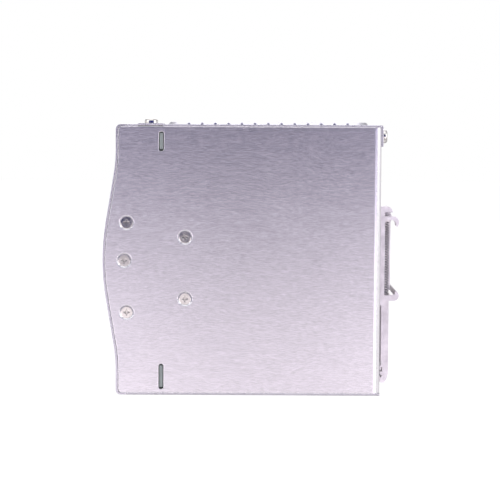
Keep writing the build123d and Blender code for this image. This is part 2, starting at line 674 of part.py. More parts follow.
def clamp_screw(x):
    with BuildPart() as screw:
        with Locations(*facing((0, -1, 0), (x, HEAD_SEAT, POLE_Z))):
            Cylinder(2.8, HEAD_SEAT - HEAD_FACE, align=(Align.CENTER, Align.CENTER, Align.MIN))
            Cylinder(
                CLAMP_SCREW,
                BAR_Y[0] - HEAD_SEAT - CLEARANCE,
                align=(Align.CENTER, Align.CENTER, Align.MAX),
            )
        chamfer(edges_in_plane(screw, HEAD_FACE), 0.4)
        with BuildSketch(Plane.XZ.offset(-HEAD_FACE)):
            with Locations((x, POLE_Z)):
                Rectangle(0.9, 6)
                Rectangle(2.6, 0.9)
        extrude(amount=-1.3, mode=Mode.SUBTRACT)
    return screw.part


def edges_in_plane(builder, y):
    return builder.edges().filter_by(GeomType.CIRCLE).filter_by_position(Axis.Y, y - 0.01, y + 0.01)


def clamp_jaw(x):
    """The cage that the screw pulls against the bar, squeezing the wire between them."""
    with BuildPart() as jaw:
        add(
            box_between(
                (x - JAW_HALF_WIDTH, x + JAW_HALF_WIDTH),
                (JAW_FRONT, JAW_REAR),
                (POLE_Z - JAW_HALF_HEIGHT, POLE_Z + JAW_HALF_HEIGHT),
            )
        )
        fillet(jaw.edges().filter_by(Axis.Z), 0.6)
        add(
            box_between(
                (x - 2.5, x + 2.5),
                (JAW_FRONT + 1.5, JAW_REAR - 1.4),
                (POLE_Z - JAW_HALF_HEIGHT, POLE_Z + JAW_HALF_HEIGHT),
            ),
            mode=Mode.SUBTRACT,
        )
        with Locations(*facing((0, -1, 0), (x, JAW_FRONT, POLE_Z))):
            add(round_hole(CLAMP_SCREW + 0.08, 1.5), mode=Mode.SUBTRACT)
        # teeth that bite the wire
        for z in (POLE_Z - 1.2, POLE_Z + 1.2):
            tooth = box_between((x - 2.5, x + 2.5), (JAW_REAR - 1.5, JAW_REAR - 1.1), (z - 0.3, z + 0.3))
            add(tooth, mode=Mode.SUBTRACT)
    return jaw.part


# ---- terminal boards ------------------------------------------------------------------------
MAIN_X = (29.15, 30.75)  # power board, parallel to the side plate
MAIN_Y = (-106.1, -14.7)
MAIN_Z = (-58.6, 58.6)
TONGUE = (47.4, 57.4)  # where the power board's tongue passes the output board
BOARD_LEFT = -39.0
BOARD_RIGHT = PLATE_INSIDE - 0.2


def terminal_board(poles, tab):
    with BuildPart() as board:
        with BuildSketch(Plane.XZ.offset(-BOARD_Y - BOARD / 2)):
            with Locations(((BOARD_LEFT + BOARD_RIGHT) / 2, 52.4)):
                Rectangle(BOARD_RIGHT - BOARD_LEFT, 14.8)
            with Locations((BOARD_RIGHT + 1.0, (tab[0] + tab[1]) / 2)):
                Rectangle(2.2, tab[1] - tab[0])
            with Locations(((MAIN_X[0] + MAIN_X[1]) / 2, (TONGUE[0] + TONGUE[1]) / 2)):
                Rectangle(BOARD + 0.2, TONGUE[1] - TONGUE[0] + 0.2, mode=Mode.SUBTRACT)
            with Locations(*[(x, BAR_LOW + 0.5) for x in pole_places(poles)]):
                Rectangle(2.2, 1.2, mode=Mode.SUBTRACT)
        extrude(amount=BOARD)
    return board.part


UPPER_TAB = (UPPER_SLOT[0] + 1.0, UPPER_SLOT[1] - 0.7)
LOWER_TAB = (mirrored_z(LOWER_SLOT[1] - 0.7), mirrored_z(LOWER_SLOT[0] + 1.0))

output_terminal_block = terminal_block(OUTPUT_POLES)
input_terminal_block = to_bottom(terminal_block(INPUT_POLES))
output_contact_bars = contact_bars(OUTPUT_POLES)
input_contact_bars = to_bottom(contact_bars(INPUT_POLES))
output_board = terminal_board(OUTPUT_POLES, UPPER_TAB)
input_board = to_bottom(terminal_board(INPUT_POLES, LOWER_TAB))
output_screws = [clamp_screw(x) for x in pole_places(OUTPUT_POLES)]
output_jaws = [clamp_jaw(x) for x in pole_places(OUTPUT_POLES)]
input_screws = [to_bottom(clamp_screw(x)) for x in pole_places(INPUT_POLES)]
input_jaws = [to_bottom(clamp_jaw(x)) for x in pole_places(INPUT_POLES)]

# ---- status light and voltage trimmer on the output board ----------------------------------
BOARD_FACE = BOARD_Y - BOARD / 2
LED_HEIGHT = 1.2
SHAFT_RADIUS = 3.0
TRIMMER_FACE = -117.7

with BuildPart() as status_led:
    led_y = (BOARD_FACE - LED_HEIGHT, BOARD_FACE)
    add(box_between((LED_X - 1.2, LED_X + 1.2), led_y, (CONTROL_Z - 1, CONTROL_Z + 1)))

with BuildPart() as light_pipe:
    pipe_start = BOARD_FACE - LED_HEIGHT - 0.3
    with Locations(*facing((0, -1, 0), (LED_X, pipe_start, CONTROL_Z))):
        Cylinder(1.5, pipe_start - FLAT + 0.4, align=(Align.CENTER, Align.CENTER, Align.MIN))
        Cylinder(2.4, 1.0, align=(Align.CENTER, Align.CENTER, Align.MIN))
    fillet(edges_in_plane(light_pipe, FLAT - 0.4), 0.7)

with BuildPart() as light_pipe_holder:
    holder_z = (CONTROL_Z - 3.2, CONTROL_Z + 3.2)
    add(box_between((LED_X - 3.2, LED_X + 3.2), (BOARD_FACE - 6, BOARD_FACE), holder_z))
    with Locations(*facing((0, -1, 0), (LED_X, BOARD_FACE - 6, CONTROL_Z))):
        add(round_hole(1.6, 6), mode=Mode.SUBTRACT)
    with Locations(*facing((0, -1, 0), (LED_X, BOARD_FACE - 2.7, CONTROL_Z))):
        add(round_hole(2.5, 3), mode=Mode.SUBTRACT)

with BuildPart() as trimmer_body:
    trimmer_x = (TRIMMER_X - 4.9, TRIMMER_X + 4.9)
    trimmer_z = (CONTROL_Z - 5.5, CONTROL_Z + 5.5)
    add(box_between(trimmer_x, (TRIMMER_FACE + 2, BOARD_FACE), trimmer_z))
    with Locations(*facing((0, -1, 0), (TRIMMER_X, TRIMMER_FACE + 2, CONTROL_Z))):
        Cylinder(4.2, 2, align=(Align.CENTER, Align.CENTER, Align.MIN))
    with Locations(*facing((0, -1, 0), (TRIMMER_X, TRIMMER_FACE, CONTROL_Z))):
        add(round_hole(SHAFT_RADIUS + 0.06, 5), mode=Mode.SUBTRACT)

with BuildPart() as trimmer_shaft:
    shaft_end = FLAT + 0.4
    shaft_start = TRIMMER_FACE + 4.9
    with Locations(*facing((0, -1, 0), (TRIMMER_X, shaft_start, CONTROL_Z))):
        Cylinder(SHAFT_RADIUS, shaft_start - shaft_end, align=(Align.CENTER, Align.CENTER, Align.MIN))
    chamfer(edges_in_plane(trimmer_shaft, shaft_end), 0.4)
    with BuildSketch(Plane.XZ.offset(-shaft_end)):
        with Locations((TRIMMER_X, CONTROL_Z)):
            Rectangle(1.0, 7)
    extrude(amount=-1.5, mode=Mode.SUBTRACT)

# ---- power board: everything tall stands on its left face, along -X -------------------------
FACE = MAIN_X[0]
SOLDER = MAIN_X[1]
PIN = 0.5
PIN_LENGTH = BOARD + 1.4

STANDOFFS = [(-90.7, 55.4), (-52.7, 53.4), (-18.2, 26.4), (-18.7, -52.6), (-101.7, -55.1)]  # (y, z)
BULK_CAPACITORS = [(-31.7, 42.4), (-31.7, 10.4)]
OUTPUT_CAPACITORS = [(-99.7, z) for z in (13.4, 26.4, 39.4, 52.4)]
LINE_CHOKES = [(-90.7, -42.6), (-68.7, -23.1)]
LINE_CHOKE_RADIUS = 11.4
BOOST_CHOKE = (-36.7, -28.6)
OUTPUT_CHOKE = (-77.7, 46.4)
TRANSFORMER = (-70.7, 13.4)
BRIDGE = (-94.7, -20.6)
RELAY = (-93.7, -10.8)
FUSE = (-65.7, -54.6)
LINE_CAPACITORS = [(-66.7, -43.6), (-36.7, -54.4)]
SURGE_DISCS = [(-51.7, -53.6), (-58.7, -7.6)]
CONTROL_BOARD_Y = -48.5
CONTROL_BOARD_Z = 13.4
LEAD_Y = -79.3  # where the power transistors' legs pass the board
LEAD_STEP = 5.45


def pin_pairs(places, gap, along="z"):
    """Two legs for each component, gap apart."""
    pairs = []
    for y, z in places:
        for side in (-gap / 2, gap / 2):
            pairs.append((y + side, z) if along == "y" else (y, z + side))
    return pairs


PINS = {
    "bulk_capacitors": pin_pairs(BULK_CAPACITORS, 10),
    "output_capacitors": pin_pairs(OUTPUT_CAPACITORS, 5),
    "line_chokes": pin_pairs([(y + step, z) for y, z in LINE_CHOKES for step in (-3, 3)], 15),
    "boost_choke": pin_pairs([BOOST_CHOKE], 30),
    "output_choke": pin_pairs([OUTPUT_CHOKE], 18),
    "transformer": [
        (TRANSFORMER[0] + side, TRANSFORMER[1] + step) for side in (-15, 15) for step in (-12, -4, 4, 12)
    ],
    "bridge_rectifier": [(BRIDGE[0] + step, BRIDGE[1]) for step in (-7.6, -2.5, 2.5, 7.6)],
    "relay": pin_pairs([(RELAY[0] - 7, RELAY[1]), (RELAY[0] + 7, RELAY[1])], 7),
    "fuse": pin_pairs([FUSE], 15, "y"),
    "line_capacitors": pin_pairs(LINE_CAPACITORS, 15, "y"),
    "surge_discs": pin_pairs([SURGE_DISCS[0]], 7) + pin_pairs([SURGE_DISCS[1]], 7, "y"),
    "control_board": [(CONTROL_BOARD_Y, CONTROL_BOARD_Z + step) for step in (-14, -7, 0, 7, 14)],
}
TRANSISTOR_LEGS = [(LEAD_Y, z + step) for y, z in DEVICE_SCREWS for step in (-LEAD_STEP, 0, LEAD_STEP)]


def legs(name):
    """A component's round legs, from the board's face through to the solder side."""
    with BuildPart() as pins:
        with Locations(*facing((1, 0, 0), *[(FACE - 0.4, y, z) for y, z in PINS[name]])):
            Cylinder(PIN, PIN_LENGTH + 0.4, align=(Align.CENTER, Align.CENTER, Align.MIN))
    return pins.part


def standing(place):
    """Working plane on the board's component face, with its normal pointing left."""
    return Plane(origin=(FACE, place[0], place[1]), x_dir=(0, 1, 0), z_dir=(-1, 0, 0))


def can_capacitor(radius, height):
    with BuildPart() as can:
        Cylinder(radius, height, align=(Align.CENTER, Align.CENTER, Align.MIN))
        fillet(can.edges().filter_by(GeomType.CIRCLE).group_by(Axis.Z)[-1], 0.9)
        with BuildSketch(Plane.XZ):
            with Locations((radius, 3.2)):
                Circle(0.7)
        revolve(axis=Axis.Z, mode=Mode.SUBTRACT)
    return can.part


def wound_ring(outer, inner, height):
    """A ring core with two half windings, lying on the board."""
    with BuildPart() as ring:
        with BuildSketch(Plane.XZ):
            with Locations(((outer + inner) / 2, height / 2)):
                RectangleRounded(outer - inner - 2.4, height - 2.4, 1.5)
        revolve(axis=Axis.Z)
        for start in (12, 192):
            with BuildSketch(Plane.XZ.rotated((0, 0, start))):
                with Locations(((outer + inner) / 2, height / 2)):
                    RectangleRounded(outer - inner, height, 2.4)
            revolve(axis=Axis.Z, revolution_arc=156)
    return ring.part


with BuildPart() as power_board:
    with BuildSketch(Plane.YZ.offset(FACE)):
        with Locations(((MAIN_Y[0] + MAIN_Y[1]) / 2, (MAIN_Z[0] + MAIN_Z[1]) / 2)):
            Rectangle(MAIN_Y[1] - MAIN_Y[0], MAIN_Z[1] - MAIN_Z[0])
        for low, high in (TONGUE, (mirrored_z(TONGUE[1]), mirrored_z(TONGUE[0]))):
            with Locations((MAIN_Y[0] - 1.7, (low + high) / 2)):
                Rectangle(3.5, high - low)
        with Locations(*[place for places in PINS.values() for place in places]):
            Circle(PIN + 0.1, mode=Mode.SUBTRACT)
        with Locations(*TRANSISTOR_LEGS):
            Circle(0.9, mode=Mode.SUBTRACT)
        with Locations(*STANDOFFS):
            Circle(PASSING, mode=Mode.SUBTRACT)
    extrude(amount=BOARD)

with BuildPart() as board_standoffs:
    with Locations(*facing((1, 0, 0), *[(SOLDER, y, z) for y, z in STANDOFFS])):
        add(hex_nut(PLATE_INSIDE - SOLDER))

with BuildPart() as board_screws:
    with Locations(*facing((-1, 0, 0), *[(FACE, y, z) for y, z in STANDOFFS])):
        add(pan_screw(BOARD + 4.4))

with BuildPart() as insulation_sheet:
    with BuildSketch(Plane.YZ.offset(PLATE_INSIDE - 0.6)):
        with Locations((-58.2, MIDDLE)):
            Rectangle(85, 115)
        with Locations((-93.7, -3.6)):
            Rectangle(34, 52, mode=Mode.SUBTRACT)
        with Locations(*STANDOFFS):
            Circle(3.6, mode=Mode.SUBTRACT)
    extrude(amount=0.4)

# ---- power transistors, clamped to the side plate by its two rear screws ---------------------
PAD = 0.3
DEVICE = 5.0
DEVICE_HALF = 7.9

with BuildPart() as thermal_pads:
    for y, z in DEVICE_SCREWS:
        add(box_between((PLATE_INSIDE - PAD, PLATE_INSIDE), (y - 7.5, y + 16.0), (z - 9, z + 9)))
    with Locations(*facing((1, 0, 0), *[(PLATE_INSIDE, y, z) for y, z in DEVICE_SCREWS])):
        add(round_hole(PASSING, PAD), mode=Mode.SUBTRACT)

with BuildPart() as power_transistors:
    device_x = (PLATE_INSIDE - PAD - DEVICE, PLATE_INSIDE - PAD)
    for y, z in DEVICE_SCREWS:
        add(box_between(device_x, (y - 6.2, y + 14.6), (z - DEVICE_HALF, z + DEVICE_HALF)))
        for step in (-LEAD_STEP, 0, LEAD_STEP):
            add(box_between((37.2, 38.2), (y + 14.4, LEAD_Y + 0.5), (z + step - 0.5, z + step + 0.5)))
            leg_z = (z + step - 0.5, z + step + 0.5)
            add(box_between((FACE - 1.0, 38.2), (LEAD_Y - 0.5, LEAD_Y + 0.5), leg_z))
    with Locations(*facing((1, 0, 0), *[(device_x[1], y, z) for y, z in DEVICE_SCREWS])):
        add(round_hole(1.8, DEVICE), mode=Mode.SUBTRACT)

with BuildPart() as transistor_screws:
    with Locations(*facing((1, 0, 0), *[(RIGHT - SUNK, y, z) for y, z in DEVICE_SCREWS])):
        add(flat_screw(DEVICE_SCREW_LENGTH))

# ---- components on the power board ------------------------------------------------------------
with BuildPart() as bulk_capacitors:
    with Locations(*[standing(place) for place in BULK_CAPACITORS]):
        add(can_capacitor(15, 46))
    add(legs("bulk_capacitors"))

with BuildPart() as output_capacitors:
    with Locations(*[standing(place) for place in OUTPUT_CAPACITORS]):
        add(can_capacitor(6, 28))
    add(legs("output_capacitors"))

with BuildPart() as line_chokes:
    with Locations(*[standing(place) for place in LINE_CHOKES]):
        add(wound_ring(LINE_CHOKE_RADIUS, 4.2, 13))
    add(legs("line_chokes"))

with BuildPart() as boost_choke:
    with Locations(standing(BOOST_CHOKE)):
        add(wound_ring(19.4, 9.0, 20))
    add(legs("boost_choke"))

with BuildPart() as output_choke:
    with Locations(standing(OUTPUT_CHOKE)):
        add(wound_ring(11.6, 4.6, 14))
    add(legs("output_choke"))

with BuildPart() as transformer_core:
    y, z = TRANSFORMER
    add(box_between((FACE - 35, FACE - 3), (y - 7, y + 7), (z - 17.6, z + 17.6)))
    add(
        box_between((FACE - 29, FACE - 9), (y - 7, y + 7), (z - 12, z + 12)),
        mode=Mode.SUBTRACT,
    )
    with Locations(*facing((-1, 0, 0), (FACE - 9, y, z))):
        Cylinder(5.5, 20, align=(Align.CENTER, Align.CENTER, Align.MIN))

with BuildPart() as transformer_coil:
    y, z = TRANSFORMER
    with Locations(*facing((-1, 0, 0), (FACE - 9.2, y, z))):
        Cylinder(11.7, 19.6, align=(Align.CENTER, Align.CENTER, Align.MIN))
        Cylinder(5.7, 19.6, align=(Align.CENTER, Align.CENTER, Align.MIN), mode=Mode.SUBTRACT)
    for side in (-1, 1):
        foot_y = (y + 15 * side - 4, y + 15 * side + 4)
        add(box_between((FACE - 10.5, FACE), foot_y, (z - 16, z + 16)))
        neck_y = (y + 9 * side - 3, y + 9 * side + 3)
        add(box_between((FACE - 12, FACE - 9.2), neck_y, (z - 8, z + 8)))
    # keep the bobbin's feet clear of the core
    add(box_between((FACE - 9.2, FACE), (y - 7.2, y + 7.2), (z - 20, z + 20)), mode=Mode.SUBTRACT)
    with Locations(*facing((-1, 0, 0), (FACE - 9.2, y, z))):
        Cylinder(5.7, 19.6, align=(Align.CENTER, Align.CENTER, Align.MIN), mode=Mode.SUBTRACT)
    add(legs("transformer"))

with BuildPart() as bridge_rectifier:
    y, z = BRIDGE
    add(box_between((FACE - 21.5, FACE - 3), (y - 11, y + 11), (z - 1.8, z + 1.8)))
    with Locations(*facing((0, 0, 1), (FACE - 17, y, z + 1.8))):
        add(round_hole(1.9, 3.6), mode=Mode.SUBTRACT)
    for step in (-7.6, -2.5, 2.5, 7.6):
        with Locations(*facing((1, 0, 0), (FACE - 3.5, y + step, z))):
            Cylinder(PIN, PIN_LENGTH + 3.5, align=(Align.CENTER, Align.CENTER, Align.MIN))

with BuildPart() as inrush_relay:
    y, z = RELAY
    add(box_between((FACE - 15.5, FACE), (y - 10, y + 10), (z - 5, z + 5)))
    fillet(inrush_relay.edges().filter_by(Axis.X), 0.8)
    add(legs("relay"))

with BuildPart() as line_fuse:
    y, z = FUSE
    with Locations(*facing((0, 1, 0), (FACE - 3.6, y, z))):
        Cylinder(2.6, 20)
        with Locations((0, 0, 7.2), (0, 0, -7.2)):
            Cylinder(2.9, 5.6)
    add(legs("fuse"))
    for side in (-7.5, 7.5):
        add(box_between((FACE - 3, FACE), (y + side - 1.5, y + side + 1.5), (z - 2, z + 2)))

with BuildPart() as line_capacitors:
    for y, z in LINE_CAPACITORS:
        add(box_between((FACE - 17, FACE), (y - 9, y + 9), (z - 4, z + 4)))
    fillet(line_capacitors.edges().filter_by(Axis.X), 0.8)
    add(legs("line_capacitors"))

with BuildPart() as surge_discs:
    for (y, z), facing_y in zip(SURGE_DISCS, (True, False)):
        normal = (0, 1, 0) if facing_y else (0, 0, 1)
        with Locations(*facing(normal, (FACE - 6.5, y, z))):
            Cylinder(5.0, 3.6)
        along = (0, 3.5) if facing_y else (3.5, 0)
        for side in (-1, 1):
            with Locations(*facing((1, 0, 0), (FACE - 6.5, y + side * along[0], z + side * along[1]))):
                Cylinder(PIN, PIN_LENGTH + 6.5, align=(Align.CENTER, Align.CENTER, Align.MIN))

with BuildPart() as control_board:
    y, z = CONTROL_BOARD_Y, CONTROL_BOARD_Z
    add(box_between((-6.0, FACE - 2.6), (y - 0.7, y + 0.7), (z - 18, z + 18)))
    add(box_between((FACE - 2.8, FACE), (y - 1.2, y + 1.2), (z - 16, z + 16)))
    add(box_between((4.0, 12.0), (y - 2.2, y - 0.5), (z - 6, z + 6)))
    add(legs("control_board"))

# ---- earth lead from the input board to the back plate -----------------------------------------
LUG_Y = BACK - PLATE
EARTH = (-20.0, -52.6)  # (x, z) of the earth stud
LEAD_RADIUS = 1.2

with BuildPart() as earth_lead:
    with BuildLine() as route:
        Spline(
            (-12.0, BOARD_Y + BOARD / 2, -48.6),
            (-16.0, -82.7, -52.6),
            (-18.0, -52.7, -54.6),
            (EARTH[0], LUG_Y - 7.5, EARTH[1] + 4.0),
            tangents=[(0, 1, 0), (0, 1, -0.2)],
        )
    with BuildSketch(Plane(origin=route.line @ 0, z_dir=route.line % 0)):
        Circle(LEAD_RADIUS)
    sweep()
    with Locations(*facing((0, -1, 0), (EARTH[0], LUG_Y, EARTH[1]))):
        Cylinder(3.6, 0.8, align=(Align.CENTER, Align.CENTER, Align.MIN))
    lug_x = (EARTH[0] - 1.6, EARTH[0] + 1.6)
    add(box_between(lug_x, (LUG_Y - 8.5, LUG_Y), (EARTH[1] + 3.3, EARTH[1] + 5.4)))
    with Locations(*facing((0, -1, 0), (EARTH[0], LUG_Y - 0.8, EARTH[1]))):
        add(round_hole(PASSING, 0.8), mode=Mode.SUBTRACT)

with BuildPart() as earth_stud:
    with Locations(*facing((0, -1, 0), (EARTH[0], LUG_Y, EARTH[1]))):
        Cylinder(THREAD / 2, 6, align=(Align.CENTER, Align.CENTER, Align.MIN))

# ---- nuts: behind the panel's ears, behind the transistors and on the earth stud ---------------
with BuildPart() as hex_nuts:
    with Locations(
        *facing((-1, 0, 0), *[(PLATE_INSIDE - SHEET, y, z) for y, z in PANEL_SCREWS]),
        *facing((1, 0, 0), *[(COVER_INSIDE + SHEET, y, z) for y, z in PANEL_SCREWS]),
        *facing((-1, 0, 0), *[(device_x[0], y, z) for y, z in DEVICE_SCREWS]),
        *facing((0, -1, 0), (EARTH[0], LUG_Y - 0.8, EARTH[1])),
    ):
        add(hex_nut(NUT_HEIGHT))

# ---- every piece to its own file ----------------------------------------------------------------
pieces = {
    "chassis": chassis.part,
    "cover": cover.part,
    "front_panel": front_panel.part,
    "panel_screws": panel_screws.part,
    "cover_screws": cover_screws.part,
    "cover_base_screw": cover_base_screw.part,
    "rail_bracket": rail_bracket.part,
    "bracket_screws": bracket_screws.part,
    "rail_latch": rail_latch.part,
    "latch_springs": latch_springs.part,
    "output_terminal_block": output_terminal_block,
    "input_terminal_block": input_terminal_block,
    "output_contact_bars": output_contact_bars,
    "input_contact_bars": input_contact_bars,
    "output_board": output_board,
    "input_board": input_board,
    "status_led": status_led.part,
    "light_pipe": light_pipe.part,
    "light_pipe_holder": light_pipe_holder.part,
    "trimmer_body": trimmer_body.part,
    "trimmer_shaft": trimmer_shaft.part,
    "power_board": power_board.part,
    "board_standoffs": board_standoffs.part,
    "board_screws": board_screws.part,
    "insulation_sheet": insulation_sheet.part,
    "thermal_pads": thermal_pads.part,
    "power_transistors": power_transistors.part,
    "transistor_screws": transistor_screws.part,
    "bulk_capacitors": bulk_capacitors.part,
    "output_capacitors": output_capacitors.part,
    "line_chokes": line_chokes.part,
    "boost_choke": boost_choke.part,
    "output_choke": output_choke.part,
    "transformer_core": transformer_core.part,
    "transformer_coil": transformer_coil.part,
    "bridge_rectifier": bridge_rectifier.part,
    "inrush_relay": inrush_relay.part,
    "line_fuse": line_fuse.part,
    "line_capacitors": line_capacitors.part,
    "surge_discs": surge_discs.part,
    "control_board": control_board.part,
    "earth_lead": earth_lead.part,
    "earth_stud": earth_stud.part,
    "hex_nuts": hex_nuts.part,
}
for number, (screw, jaw) in enumerate(zip(output_screws, output_jaws), start=1):
    pieces[f"output_screw_{number}"] = screw
    pieces[f"output_jaw_{number}"] = jaw
for number, (screw, jaw) in enumerate(zip(input_screws, input_jaws), start=1):
    pieces[f"input_screw_{number}"] = screw
    pieces[f"input_jaw_{number}"] = jaw

for name, piece in pieces.items():
    piece.label = name
    export_step(piece, f"parts/{name}.step")
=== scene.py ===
import json
import math

import bpy
from mathutils import Matrix, Vector


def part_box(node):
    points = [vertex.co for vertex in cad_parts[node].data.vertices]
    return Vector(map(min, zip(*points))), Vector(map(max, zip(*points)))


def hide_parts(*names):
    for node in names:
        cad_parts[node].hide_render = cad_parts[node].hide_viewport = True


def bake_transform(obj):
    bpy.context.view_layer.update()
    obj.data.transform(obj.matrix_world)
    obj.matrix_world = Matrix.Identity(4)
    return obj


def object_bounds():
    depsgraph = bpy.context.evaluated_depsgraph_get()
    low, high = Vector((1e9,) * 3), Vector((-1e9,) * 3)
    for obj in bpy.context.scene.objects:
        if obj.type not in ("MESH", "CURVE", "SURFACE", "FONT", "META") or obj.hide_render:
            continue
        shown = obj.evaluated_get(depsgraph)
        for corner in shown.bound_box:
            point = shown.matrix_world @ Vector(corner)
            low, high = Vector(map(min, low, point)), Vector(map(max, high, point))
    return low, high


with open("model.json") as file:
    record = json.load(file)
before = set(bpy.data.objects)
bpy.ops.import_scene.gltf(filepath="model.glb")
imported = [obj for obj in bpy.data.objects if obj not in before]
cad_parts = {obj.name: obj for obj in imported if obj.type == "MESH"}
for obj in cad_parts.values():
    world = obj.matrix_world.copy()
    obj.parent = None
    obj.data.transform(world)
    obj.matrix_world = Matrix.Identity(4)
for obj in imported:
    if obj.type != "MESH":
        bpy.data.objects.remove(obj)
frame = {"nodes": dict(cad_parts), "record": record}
cad_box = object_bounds()

MM = 0.001


# ---- node helpers ---------------------------------------------------------------------------
class Nodes:
    """A node tree that is built one line at a time."""

    def __init__(self, tree):
        self.tree = tree

    def add(self, kind, inputs=None, **settings):
        node = self.tree.nodes.new(kind)
        for name, value in settings.items():
            setattr(node, name, value)
        for name, value in (inputs or {}).items():
            self.put(node.inputs[name], value)
        return node

    def put(self, socket, value):
        if isinstance(value, bpy.types.NodeSocket):
            self.tree.links.new(value, socket)
        elif socket.type == "RGBA" and len(value) == 3:
            socket.default_value = (*value, 1.0)
        else:
            socket.default_value = value

    def math(self, operation, a, b=0.0):
        node = self.add("ShaderNodeMath", operation=operation)
        self.put(node.inputs[0], a)
        self.put(node.inputs[1], b)
        return node.outputs[0]

    def scaled(self, vector, factor):
        node = self.add("ShaderNodeVectorMath", {"Scale": factor}, operation="SCALE")
        self.put(node.inputs[0], vector)
        return node.outputs["Vector"]

    def ranged(self, value, low, high, to_low, to_high, interpolation="LINEAR"):
        inputs = {"Value": value, "From Min": low, "From Max": high, "To Min": to_low, "To Max": to_high}
        return self.add("ShaderNodeMapRange", inputs, interpolation_type=interpolation).outputs["Result"]

    def mix(self, factor, a, b):
        node = self.add("ShaderNodeMix", data_type="RGBA")
        self.put(node.inputs[0], factor)
        self.put(node.inputs[6], a)
        self.put(node.inputs[7], b)
        return node.outputs[2]


class Paint(Nodes):
    """A principled material."""

    def __init__(self, name):
        self.material = bpy.data.materials.new(name)
        self.material.use_nodes = True
        super().__init__(self.material.node_tree)
        self.shader = next(n for n in self.tree.nodes if n.type == "BSDF_PRINCIPLED")
        self.place = self.add("ShaderNodeTexCoord").outputs["Object"]

    def stretched(self, scale, turn=(0, 0, 0)):
        """Object coordinates in metres, multiplied by scale on each axis."""
        inputs = {"Vector": self.place, "Scale": scale, "Rotation": turn}
        return self.add("ShaderNodeMapping", inputs).outputs[0]

    def noise(self, vector, scale=1.0, detail=3.0, roughness=0.5):
        inputs = {"Vector": vector, "Scale": scale, "Detail": detail, "Roughness": roughness}
        return self.add("ShaderNodeTexNoise", inputs).outputs["Fac"]

    def bands(self, vector, axis, scale):
        inputs = {"Vector": vector, "Scale": scale}
        return self.add("ShaderNodeTexWave", inputs, bands_direction=axis, wave_profile="SIN")

    def openness(self, reach):
        """1 in the open, less in corners and recesses narrower than reach."""
        return self.add("ShaderNodeAmbientOcclusion", {"Distance": reach}, samples=4).outputs["AO"]

    def rounded(self, radius):
        """A normal that is rounded off at edges, and a mask that is 1 on those edges."""
        soft = self.add("ShaderNodeBevel", {"Radius": radius}, samples=4).outputs[0]
        flat = self.add("ShaderNodeNewGeometry").outputs["Normal"]
        dot = self.add("ShaderNodeVectorMath", operation="DOT_PRODUCT")
        self.put(dot.inputs[0], soft)
        self.put(dot.inputs[1], flat)
        return soft, self.ranged(dot.outputs["Value"], 0.99, 0.80, 0.0, 1.0)

    def finish(self, color, roughness, normal, metallic=0.0, **more):
        self.put(self.shader.inputs["Base Color"], color)
        self.put(self.shader.inputs["Roughness"], roughness)
        self.put(self.shader.inputs["Normal"], normal)
        self.shader.inputs["Metallic"].default_value = metallic
        for name, value in more.items():
            self.put(self.shader.inputs[name.replace("_", " ")], value)
        return self.material

    def bump(self, height, distance, normal, strength=1.0):
        inputs = {"Height": height, "Distance": distance, "Normal": normal, "Strength": strength}
        return self.add("ShaderNodeBump", inputs).outputs[0]


def shade(color, factor):
    """A darker or lighter colour."""
    return tuple(min(1.0, c * factor) for c in color)


def times(scale, factor):
    return tuple(s * factor for s in scale)


GRAIN_ALONG_Y = (3000, 420, 3000)
GRAIN_ALONG_X = (420, 3000, 3000)
BRUSHED_Y = (0.03, 1, 0.02)  # a little off its axis, so that no face has it for a normal
BRUSHED_X = (1, 0.03, 0.02)
SCRATCH_TURN = math.radians(-38)
STREAK = 0.12
SHEET_EDGE = 0.55 * MM


def brushed(name, color, roughness, grain=GRAIN_ALONG_Y, brush=BRUSHED_Y, smudge=0.08, crevice_shade=0.0):
    """Brushed sheet aluminium with smudges and fine scratches, a painted highlight along its edges and
    painted shade in its crevices.
    """
    p = Paint(name)
    fine = p.noise(p.stretched(grain), detail=4.0, roughness=0.6)
    coarse = p.noise(p.stretched(times(grain, 0.22)), detail=3.0)
    clouds = p.noise(p.place, scale=26.0, detail=5.0, roughness=0.62)
    lines = p.math("ADD", p.math("MULTIPLY", fine, 0.8), p.math("MULTIPLY", coarse, 0.2))
    soft, rim = p.rounded(SHEET_EDGE)
    streaks = p.ranged(lines, 0.34, 0.66, 0.0, 1.0)
    tone = p.mix(streaks, shade(color, 1 - STREAK), shade(color, 1 + STREAK))
    smear = p.ranged(clouds, 0.52, 0.72, 0.0, 1.0)
    tone = p.mix(p.math("MULTIPLY", smear, smudge), tone, shade(color, 0.72))
    scratch_place = p.stretched((300, 55, 55), turn=(SCRATCH_TURN, 0, 0))
    scratch = p.ranged(p.noise(scratch_place, detail=8.0, roughness=0.75), 0.735, 0.76, 0.0, 1.0)
    tone = p.mix(p.math("MULTIPLY", scratch, 0.25), tone, shade(color, 1.3))
    # painted highlight: the colour is lifted along the rounded edges, where the sheet's edge would catch
    # the light
    tone = p.mix(rim, tone, shade(color, 1.25))
    # painted shade: darkens the colour in corners and recesses, where shade falls
    if crevice_shade:
        dark = p.ranged(p.openness(2.5 * MM), 0.35, 0.8, crevice_shade, 0.0)
        tone = p.mix(dark, tone, shade(color, 0.1))
    grain_rough = p.ranged(lines, 0.3, 0.7, roughness - 0.02, roughness + 0.02)
    rough = p.math("ADD", grain_rough, p.math("MULTIPLY", smear, 0.03))
    normal = p.bump(lines, 0.001 * MM, soft, 0.5)
    across = p.add("ShaderNodeVectorMath", operation="CROSS_PRODUCT")
    p.put(across.inputs[0], p.add("ShaderNodeNewGeometry").outputs["Normal"])
    across.inputs[1].default_value = brush
    return p.finish(tone, rough, normal, 1.0, Anisotropic=0.3, Tangent=across.outputs[0])


